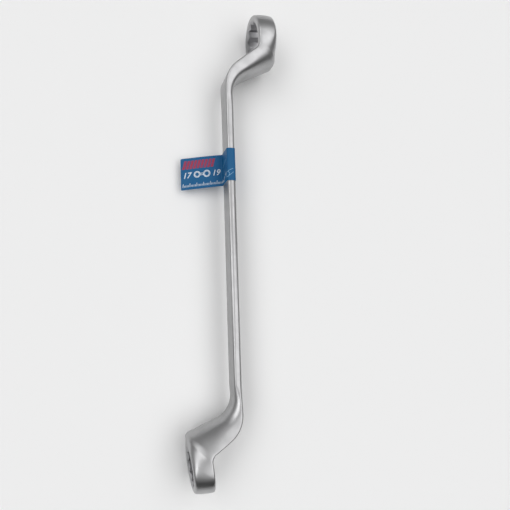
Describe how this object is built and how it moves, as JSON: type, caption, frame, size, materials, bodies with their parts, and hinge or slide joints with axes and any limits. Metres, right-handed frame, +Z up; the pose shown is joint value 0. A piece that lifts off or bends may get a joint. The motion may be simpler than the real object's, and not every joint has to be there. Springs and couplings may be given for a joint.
{
  "type": "offset ring spanner",
  "caption": "Double-ended offset ring spanner, 17 x 19 mm: flat shank, cranked necks, bi-hexagon rings, and a flag label wrapped round the shank.",
  "frame": {"origin": "on the bench under the middle of the bounding box of the spanner, which lies on its side on the rims of its two rings", "axes": "+Y along the shank towards the 19 mm ring, +Z up from the bench, +X the side that the 19 mm ring is offset to"},
  "size_m": [0.0544, 0.2602, 0.0294],
  "materials": {
    "satin_chrome": "satin chrome plate over a vibratory-finished forging, sockets brighter",
    "label_film": "semi-gloss printed film"
  },
  "bodies": {
    "spanner": {"spanner_forging": "satin_chrome", "label_wrap": "label_film"},
    "flag": {"label_flag": "label_film"}
  },
  "joints": [
    {"name": "label_flag_bend", "type": "hinge", "parent": "spanner", "child": "flag", "pos_m": [-0.00339, 0.04057, 0.00785], "axis": [0, 1, 0.0021], "range_deg": [-8, 90], "stiffness_Nm_per_rad": 0.001}
  ]
}
